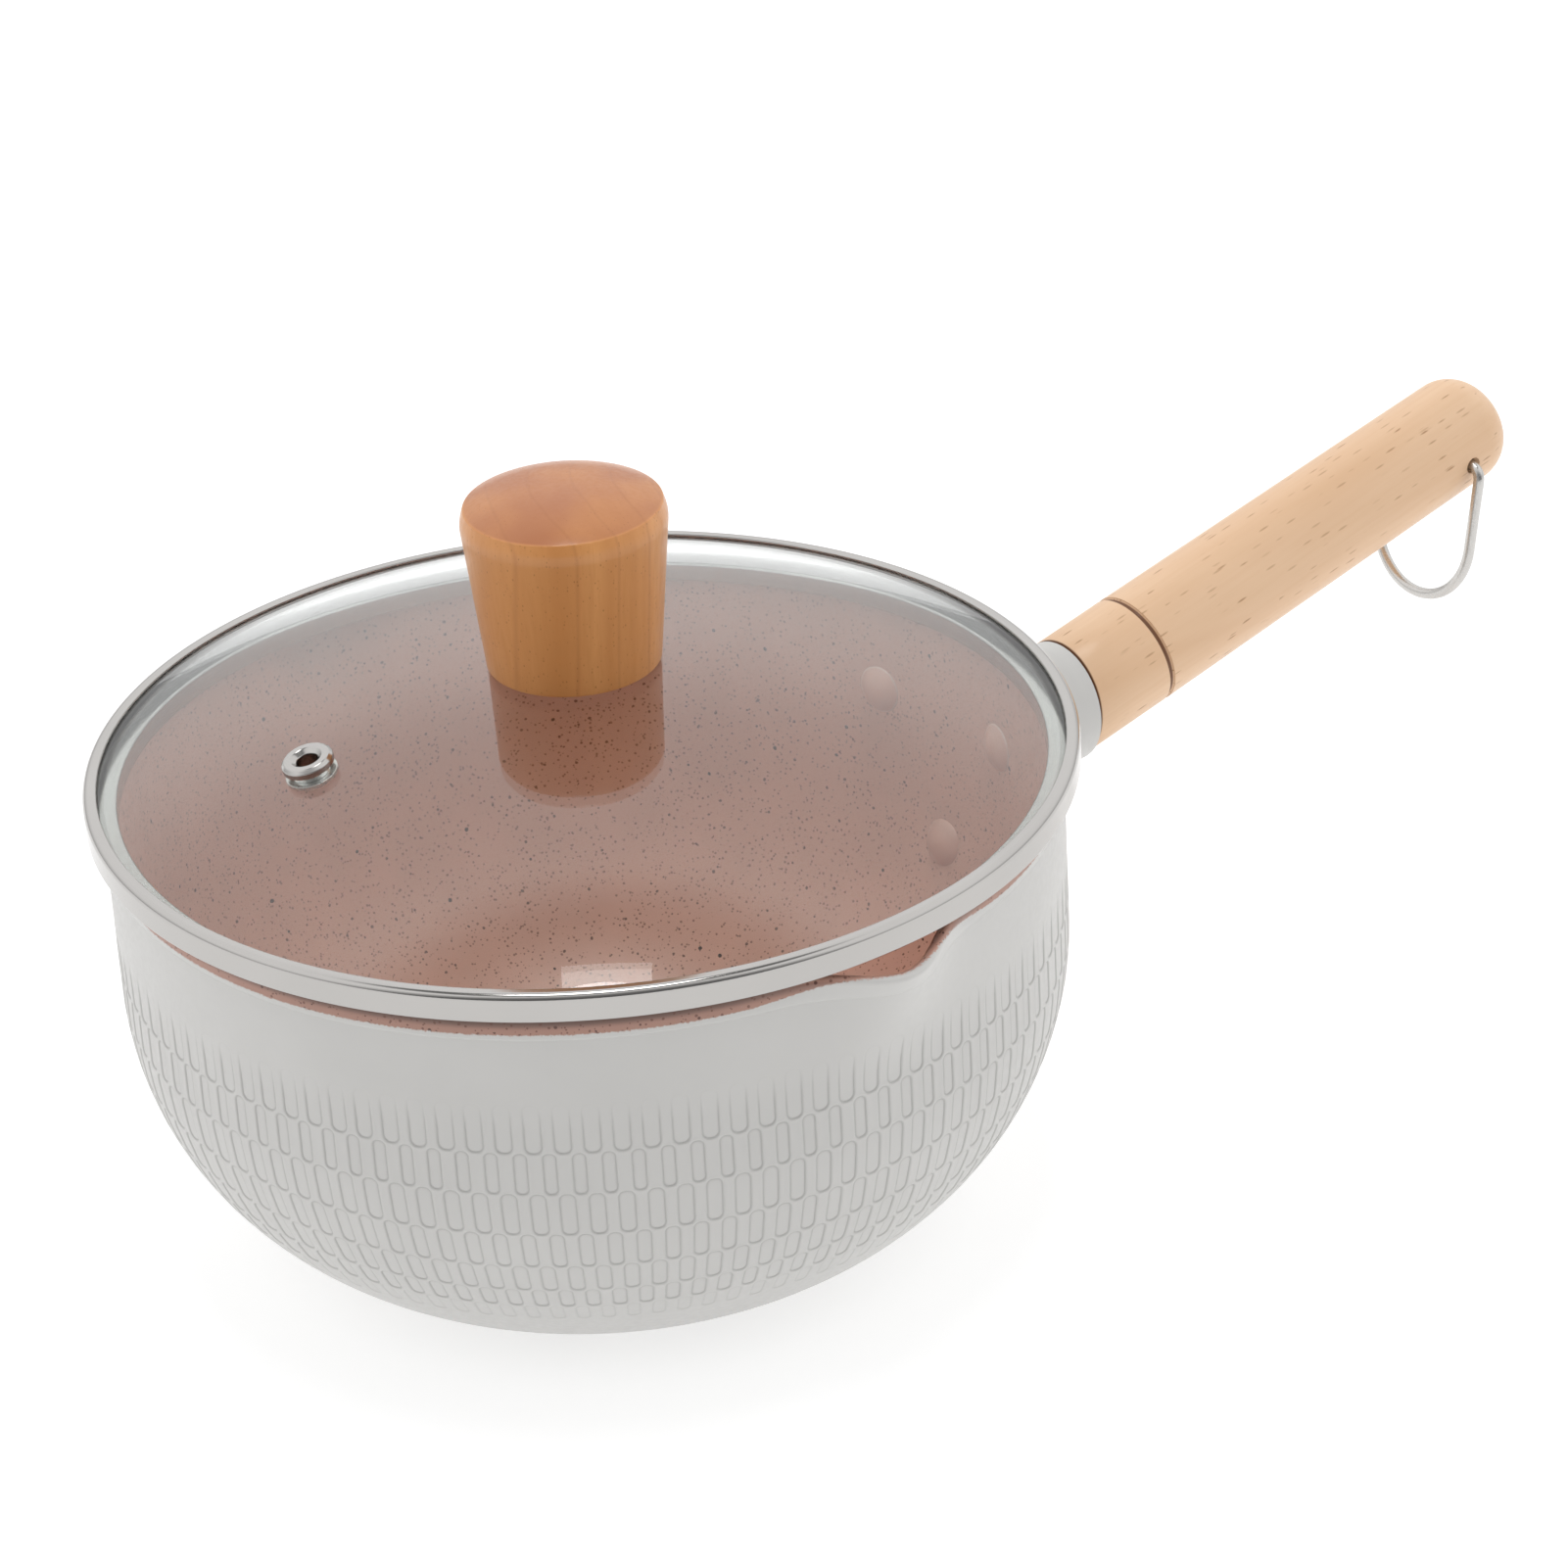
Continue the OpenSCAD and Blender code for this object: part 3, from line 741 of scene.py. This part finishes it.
def rivets():
    """Two rivets side by side in the straight wall, and one below them in the curve."""
    upper_z, upper_turn, low_dip = 75 * MM, math.radians(11.9), math.radians(14.2)
    to_wall = Matrix.Translation((PAN_R, 0, upper_z)) @ Matrix.Rotation(math.pi / 2, 4, "Y")
    rivet("rivet_upper_left", Matrix.Rotation(-upper_turn, 4, "Z") @ to_wall)
    rivet("rivet_upper_right", Matrix.Rotation(upper_turn, 4, "Z") @ to_wall)
    rivet("rivet_lower", Matrix.Translation((SIDE_X, 0, SIDE_Z))
          @ Matrix.Rotation(math.pi / 2 + low_dip, 4, "Y")
          @ Matrix.Translation((0, 0, SIDE_R)))


# ---- handle ----

ALONG = Vector((math.cos(HANDLE_TILT), 0, math.sin(HANDLE_TILT)))
ABOVE = Vector((-math.sin(HANDLE_TILT), 0, math.cos(HANDLE_TILT)))


def handle_point(along, r, turn):
    """A point at a length along the handle's line, a radius from it and a turn from the top."""
    up = r * math.cos(turn)
    side = r * math.sin(turn)
    p = Vector((0, 0, HANDLE_Z)) + ALONG * along + ABOVE * up
    return (p.x, side, p.z)


def handle_grip():
    """Turned grip: upright joint face, burnt groove, domed end and a cross hole."""
    segments = 128
    turns = np.linspace(0, 2 * math.pi, segments, endpoint=False)

    def face_at(r, turn, ahead=0.0):
        x = JOINT_X + ahead + r * math.cos(turn) * math.sin(HANDLE_TILT)
        return x / math.cos(HANDLE_TILT)

    rows = [[handle_point(face_at(r, t, ahead), r, t) for t in turns]
            for r, ahead in ((0, 0), (GRIP_R - 0.7 * MM, 0), (GRIP_R - 0.65 * MM, 0.35 * MM),
                             (GRIP_R - 0.2 * MM, 0.5 * MM), (GRIP_R, 0.95 * MM))]
    groove_r, groove_half = 0.65 * MM, 0.75 * MM
    body = [(GRIP_R, GROOVE_AT - 8 * MM), (GRIP_R, GROOVE_AT - 2 * MM)]
    body += [(GRIP_R, GROOVE_AT - groove_half - 0.15 * MM), (GRIP_R, GROOVE_AT - groove_half)]
    body += [(GRIP_R - groove_r * math.cos(a), GROOVE_AT + groove_half * math.sin(a))
             for a in np.radians(np.linspace(-70, 70, 9))]
    body += [(GRIP_R, GROOVE_AT + groove_half), (GRIP_R, GROOVE_AT + groove_half + 0.15 * MM)]
    straight_end = GRIP_END - GRIP_ROUND
    for f in np.linspace(0.02, 1, 40):
        body.append((GRIP_R + (GRIP_END_R - GRIP_R) * f,
                     GROOVE_AT + 1.2 * MM + (straight_end - GROOVE_AT - 1.2 * MM) * f))
    end = arc(straight_end, GRIP_END_R - GRIP_ROUND, GRIP_ROUND, 90, 0, 20)
    body += [(r, along) for along, r in end[1:]]
    body += [(f * (GRIP_END_R - GRIP_ROUND), GRIP_END) for f in (0.8, 0.5, 0)]
    rows += [[handle_point(along, r, t) for t in turns] for r, along in body]
    obj = grid_object("grip", rows)
    bore_for_loop(obj)
    sharpen(obj, 38)
    return keep(obj, "pan", "handle_wood", LOOKS["handle"], "handle_grip")


def bore_for_loop(grip):
    """Cross hole for the ends of the wire, flared at both mouths."""
    def across(turn):
        return Matrix.Translation(PIN) @ Matrix.Rotation(turn, 4, "X")

    drill(grip, WIRE_R + 0.12 * MM, across(math.pi / 2), 32)
    low, high = GRIP_END_R - 2.2 * MM, GRIP_END_R + 2 * MM
    flare = [(0, low), (WIRE_R, low), (WIRE_R + 1.5 * MM, high), (0, high)]
    for side in (-1, 1):
        cut(grip, turned("mouth", flare, 32, place=across(-side * math.pi / 2)))


def handle_bracket():
    """Cast bracket, softened all over and then cut to its upright joint face."""
    source = frame["nodes"]["handle_bracket"]
    obj = bpy.data.objects.new("bracket", source.data.copy())
    bpy.context.scene.collection.objects.link(obj)
    merge_close(obj.data, 1e-5)
    remesh = obj.modifiers.new("even", "REMESH")
    remesh.mode = "VOXEL"
    remesh.voxel_size = 0.7 * MM
    apply_modifiers(obj)
    soften = obj.modifiers.new("soften", "SMOOTH")
    soften.factor = 0.5
    soften.iterations = 14
    apply_modifiers(obj)
    bm = bmesh.new()
    bm.from_mesh(obj.data)
    # the softened end of the collar is drawn out past the joint, to be cut flat there
    for v in bm.verts:
        if v.co.x > JOINT_X - 3 * MM:
            v.co.x += 2 * MM
    plane = (JOINT_X - 0.05 * MM, 0, 0)
    cut_edges = bmesh.ops.bisect_plane(bm, geom=bm.verts[:] + bm.edges[:] + bm.faces[:],
                                       plane_co=plane, plane_no=(1, 0, 0), clear_outer=True)
    rim_edges = [e for e in cut_edges["geom_cut"] if isinstance(e, bmesh.types.BMEdge)]
    bmesh.ops.edgeloop_fill(bm, edges=rim_edges)
    bm.to_mesh(obj.data)
    bm.free()
    sharpen(obj, 60)
    return keep(obj, "pan", "body_paint", LOOKS["paint"], "handle_bracket")


def hanging_loop():
    """One bent wire: both ends turn in, and enter the grip's cross hole."""
    y = LOOP_HALF
    bend = y - LOOP_DROP
    half = [(y - ELBOW_R - PIN_IN, 0), (y - ELBOW_R - 0.3 * MM, 0)]
    half += arc(y - ELBOW_R, -ELBOW_R, ELBOW_R, 90, 0, 10)
    half += [(y, -ELBOW_R + f * (bend + ELBOW_R)) for f in (0.1, 0.5, 0.9)]
    half += arc(0, bend, y, 0, -90, 24)
    path = half + [(-p, q) for p, q in reversed(half[:-1])]
    obj = tube("loop_wire", [(0, p, q) for p, q in path], WIRE_R, 24)
    obj.data.transform(Matrix.Translation(PIN) @ Matrix.Rotation(LOOP_REST, 4, "Y"))
    sharpen(obj, 50)
    return keep(obj, "loop", "wire_steel", LOOKS["wire"], "hanging_loop")


# ---- lid ----


def dome_height(r, ball):
    """Height of the glass at radius r: ball is the radius of its top or its underside."""
    return DOME_Z + math.sqrt(ball ** 2 - r ** 2)


VENT_PLACE = (Matrix.Rotation(VENT_TURN, 4, "Z") @ Matrix.Translation((0, 0, DOME_Z))
              @ Matrix.Rotation(math.asin(VENT_OFFSET / DOME_R), 4, "Y")
              @ Matrix.Translation((0, 0, DOME_R)))


def lid_glass():
    """Domed glass with ground edges, a hole for the screw and one for the vent."""
    hole_r = SCREW_HOLE_R
    low_ball = DOME_R - GLASS_T
    radii = np.linspace(hole_r + 0.8 * MM, GLASS_R - 1.6 * MM, 56)
    top = [(r, dome_height(r, DOME_R)) for r in radii]
    low = [(r, dome_height(r, low_ball)) for r in radii[::-1]]
    edge = rounded([(*top[-1], 0), (GLASS_R, dome_height(GLASS_R, DOME_R), 1.3 * MM),
                    (GLASS_R, dome_height(GLASS_R, low_ball), 1.3 * MM), (*low[0], 0)], False)
    bore = rounded([(*low[-1], 0), (hole_r, dome_height(hole_r, low_ball), 0.4 * MM),
                    (hole_r, dome_height(hole_r, DOME_R), 0.4 * MM), (*top[0], 0)], False, 3)
    obj = turned("glass", top[:-1] + edge + low[1:-1] + bore[:-1], 256, closed=True)
    drill(obj, VENT_HOLE_R, VENT_PLACE, 48)
    sharpen(obj, 35)
    return keep(obj, "lid", "lid_glass", LOOKS["glass"], "lid_glass")


def lid_rim():
    """Rolled steel rim: outer band, bead over the glass, flange and locating skirt."""
    sheet = 0.5 * MM
    skirt_r = LID_R - 7.1 * MM
    skirt_z = RIM_LOW.z
    crest = RIM_HIGH.z
    lip_r = LID_R - 2.9 * MM
    lip_z = dome_height(lip_r, DOME_R) + 0.03 * MM
    outline = rounded([
        (LID_R, LID_Z, 0.25 * MM), (LID_R, crest, 1.45 * MM), (lip_r, crest, 1.35 * MM),
        (lip_r, lip_z, 0.12 * MM), (LID_R - sheet, lip_z - 0.5 * MM, 0.1 * MM),
        (LID_R - sheet, LID_Z + sheet, 0.1 * MM),
        (skirt_r - sheet, LID_Z + sheet, 0.45 * MM), (skirt_r - sheet, skirt_z, 0.2 * MM),
        (skirt_r, skirt_z, 0.2 * MM), (skirt_r, LID_Z, 0.15 * MM)], True, 7, 0.1 * MM)
    obj = turned("rim", outline, 384, closed=True)
    return keep(obj, "lid", "rim_steel", LOOKS["rim"], "lid_rim")


def vent_parts():
    """Steel eyelet through the glass, rolled over a washer below. Corners in millimetres."""
    eyelet = [(2.25, -5.0, 0.25), (2.25, 1.2, 0.3), (3.35, 2.05, 0.6), (4.7, 2.05, 0.5),
              (5.4, 1.3, 0.35), (5.4, 0.05, 0.15), (3.6, 0.05, 0.05), (3.6, -4.5, 0.05),
              (4.5, -4.5, 0.25), (4.5, -5.25, 0.35), (2.7, -5.25, 0.2)]
    outline = rounded([(r * MM, z * MM, c * MM) for r, z, c in eyelet], True, 6, 0.05 * MM)
    obj = turned("eyelet", outline, 96, closed=True, place=VENT_PLACE)
    keep(obj, "lid", "hardware_steel", LOOKS["polished"], "vent_eyelet")
    washer = [(3.65, -4.4, 0.1), (3.65, -3.6, 0.1), (5.4, -3.6, 0.15), (5.4, -4.4, 0.25)]
    outline = rounded([(r * MM, z * MM, c * MM) for r, z, c in washer], True, 4, 0.05 * MM)
    obj = turned("washer_under_vent", outline, 96, closed=True, place=VENT_PLACE)
    keep(obj, "lid", "hardware_steel", LOOKS["satin"], "vent_washer")


def lid_knob():
    """Turned knob: tapered side, softly rounded where it is widest, crisp edge, domed top."""
    low = dome_height(KNOB_R, DOME_R) - GLASS_TOP + 0.05 * MM
    rise = KNOB_H - KNOB_EDGE
    cap = [(KNOB_EDGE_R * f, KNOB_EDGE + rise * (1 - f ** 2.6)) for f in np.linspace(0.96, 0, 24)]
    under = [(0, 0.05 * MM), (9 * MM, dome_height(9 * MM, DOME_R) - GLASS_TOP + 0.05 * MM)]
    side = rounded([(*under[-1], 0), (KNOB_R, low, 0.6 * MM),
                    (KNOB_TOP_R, KNOB_WIDE, 8 * MM), (KNOB_EDGE_R, KNOB_EDGE, 0.4 * MM),
                    (*cap[0], 0)], False, 7)
    obj = turned("knob", [under[0]] + side + cap[1:], 160,
                 place=Matrix.Translation((0, 0, GLASS_TOP)))
    return keep(obj, "lid", "knob_wood", LOOKS["knob"], "lid_knob")


# ---- looks ----


def near(s, value, at, half, soft):
    """Mask of a narrow band of values round at."""
    gap = s.math("ABSOLUTE", s.math("SUBTRACT", value, at))
    return s.span(gap, half + soft, half - soft * 0.2)


def burnt_groove(s):
    """The bottom of the grip's groove."""
    along = s.node("VectorMath", {"operation": "DOT_PRODUCT"}, i0=s.place(), i1=tuple(ALONG))
    start = HANDLE_Z * math.sin(HANDLE_TILT)
    return near(s, along.outputs["Value"], GROOVE_AT + start, 0.38 * MM, 0.25 * MM)


def joint_shadow(s):
    """Painted shadow on the grip's edge at the bracket."""
    x = s.node("SeparateXYZ", Vector=s.place()).outputs["X"]
    return near(s, x, JOINT_X, 0.55 * MM, 0.25 * MM)


def knob_cap(s):
    """End grain on the knob's domed top, which soaks up more stain."""
    z = s.node("SeparateXYZ", Vector=s.place()).outputs["Z"]
    edge = GLASS_TOP + KNOB_EDGE
    stain = s.span(s.noise(s.place(), 50, 2), 0.3, 0.7, 0.45, 0.95)
    return s.math("MULTIPLY", stain, s.span(z, edge - 0.1 * MM, edge + 0.3 * MM))


def growth_lines(s):
    """Faint dark lines of the knob's growth rings."""
    rings = s.math("FRACT", s.math("DIVIDE", from_heart(s, KNOB_HEART), 8.5 * MM))
    return s.math("MULTIPLY", near(s, rings, 0.5, 0.01, 0.06), 0.2)


# dark brown for the burnt line in the grip's groove and for the painted shadow at the bracket
BURN_AND_SHADE = (0.17, 0.07, 0.03)
HANDLE_GRAIN = ((0, HANDLE_TILT, 0), (0.12, 1, 1), (0.03, 1, 1), (0.16, 1, 1))
KNOB_GRAIN = ((0, 0, 0), (1, 1, 0.1), (1, 1, 0.05), (1.6, 1.6, 0.9))
LOOKS = {
    "paint": paint_look("paint"),
    "coating": coating_look("coating"),
    "rivet": rivet_look("rivet_coating"),
    "rim": polished_steel("rim_steel"),
    "polished": polished_steel("eyelet_steel", 0.16),
    "satin": satin_steel("hardware_steel"),
    "wire": satin_steel("wire_steel", 0.27, (1, 1, 0.2)),
    "plate": satin_steel("plate_steel", 0.36),
    "handle": wood_look("handle_wood", (0.83, 0.575, 0.375), (0.74, 0.475, 0.285),
                        (0.45, 0.245, 0.125), HANDLE_GRAIN, 0.38, 0.15,
                        ((burnt_groove, BURN_AND_SHADE), (joint_shadow, BURN_AND_SHADE))),
    "knob": wood_look("knob_wood", (0.74, 0.34, 0.115), (0.58, 0.235, 0.065),
                      (0.42, 0.16, 0.045), KNOB_GRAIN, 0.36, 0.3,
                      ((knob_cap, (0.43, 0.15, 0.055)), (growth_lines, (0.36, 0.12, 0.035))),
                      heart=KNOB_HEART),
    "glass": glass_look("lid_glass"),
    "brass": brass_look("insert_brass"),
    "silicone": silicone_look("gasket_silicone"),
}


def dress(node, look):
    """Gives a CAD node that stays its material."""
    obj = frame["nodes"][node]
    obj.data.materials.clear()
    obj.data.materials.append(LOOKS[look])
    obj.data.shade_smooth()
    obj.data.set_sharp_from_angle(angle=math.radians(30))


# ---- the model ----

pan_body()
pan_coating()
rivets()
handle_grip()
handle_bracket()
hanging_loop()
lid_glass()
lid_rim()
vent_parts()
lid_knob()
for node, look in {"base_plate": "plate", "handle_stud": "satin", "knob_insert": "brass",
                   "knob_screw": "satin", "knob_washer": "satin",
                   "knob_gasket": "silicone"}.items():
    dress(node, look)

# ---- floor, light and camera ----

CAMERA_TURN = math.radians(-34.5)
CAMERA_OUT = 0.98319
CAMERA_UP = 0.61527
CAMERA_YAW = math.radians(2.397)
CAMERA_PITCH = math.radians(28.057)
CAMERA_ROLL = math.radians(-3.307)
CAMERA_LENS = 123.7


def floor():
    """Wide pale floor just under the pan."""
    mesh = bpy.data.meshes.new("floor")
    half = 6.0
    mesh.from_pydata([(-half, -half, 0), (half, -half, 0), (half, half, 0), (-half, half, 0)],
                     [], [(0, 1, 2, 3)])
    obj = bpy.data.objects.new("floor", mesh)
    bpy.context.scene.collection.objects.link(obj)
    obj.location.z = -0.1 * MM
    s = Shader("floor_white", Roughness=0.7)
    s.set("Base Color", s.mix(s.noise(s.place(), 3, 2), (0.6, 0.6, 0.6), (0.62, 0.62, 0.62)))
    s.surface.inputs["Emission Color"].default_value = (1, 1, 1, 1)
    s.surface.inputs["Emission Strength"].default_value = 0.55
    mesh.materials.append(s.material)


def area_light(name, at, target, shape, width, depth, power):
    """Soft lamp at a place, turned towards its target."""
    data = bpy.data.lights.new(name, "AREA")
    data.shape = shape
    data.size = width
    data.size_y = depth
    data.energy = power
    obj = bpy.data.objects.new(name, data)
    bpy.context.scene.collection.objects.link(obj)
    obj.location = at
    obj.rotation_euler = (Vector(target) - Vector(at)).to_track_quat("-Z", "Y").to_euler()


def sky():
    """Soft white room: dimmer at the horizon, dark overhead and behind the viewer."""
    world = bpy.data.worlds.new("room")
    bpy.context.scene.world = world
    world.use_nodes = True
    tree = world.node_tree
    background = tree.nodes["Background"]
    background.inputs["Color"].default_value = (1, 1, 1, 1)
    where = tree.nodes.new("ShaderNodeTexCoord").outputs["Generated"]

    def along(direction):
        made = tree.nodes.new("ShaderNodeVectorMath")
        made.operation = "DOT_PRODUCT"
        tree.links.new(where, made.inputs[0])
        made.inputs[1].default_value = direction
        return made.outputs["Value"]

    def fade(value, low, high, at_low, at_high):
        made = tree.nodes.new("ShaderNodeMapRange")
        made.interpolation_type = "SMOOTHSTEP"
        for key, number in (("From Min", low), ("From Max", high),
                            ("To Min", at_low), ("To Max", at_high)):
            made.inputs[key].default_value = number
        tree.links.new(value, made.inputs["Value"])
        return made.outputs["Result"]

    def product(a, b):
        made = tree.nodes.new("ShaderNodeMath")
        made.operation = "MULTIPLY"
        tree.links.new(a, made.inputs[0])
        tree.links.new(b, made.inputs[1])
        return made.outputs["Value"]

    up = along((0, 0, 1))
    viewer = along((math.sin(CAMERA_TURN), -math.cos(CAMERA_TURN), 0))
    light = product(fade(up, 0.0, 0.5, 0.7, 1.2), fade(up, 0.87, 0.94, 1.0, 0.15))
    light = product(light, fade(viewer, 0.35, 0.9, 1.0, 0.2))
    tree.links.new(light, background.inputs["Strength"])


def camera():
    """Camera above and in front of the pan, out from its axis along CAMERA_TURN."""
    data = bpy.data.cameras.new("camera")
    data.sensor_width = 36
    data.lens = CAMERA_LENS
    data.clip_start = 0.05
    obj = bpy.data.objects.new("camera", data)
    bpy.context.scene.collection.objects.link(obj)
    at = (CAMERA_OUT * math.sin(CAMERA_TURN), -CAMERA_OUT * math.cos(CAMERA_TURN), CAMERA_UP)
    obj.matrix_world = (Matrix.Translation(at)
                        @ Matrix.Rotation(CAMERA_TURN - CAMERA_YAW, 4, "Z")
                        @ Matrix.Rotation(math.pi / 2 - CAMERA_PITCH, 4, "X")
                        @ Matrix.Rotation(CAMERA_ROLL, 4, "Z"))
    bpy.context.scene.camera = obj


floor()
sky()
area_light("overhead", (0, 0, 2), (0, 0, 0), "ELLIPSE", 0.7, 0.7, 9)
area_light("window", (0.225, 0.29, 1.95), (-0.05, -0.08, 0.1), "RECTANGLE", 0.26, 0.1, 0.19)
camera()
bpy.context.scene.view_settings.view_transform = "Standard"
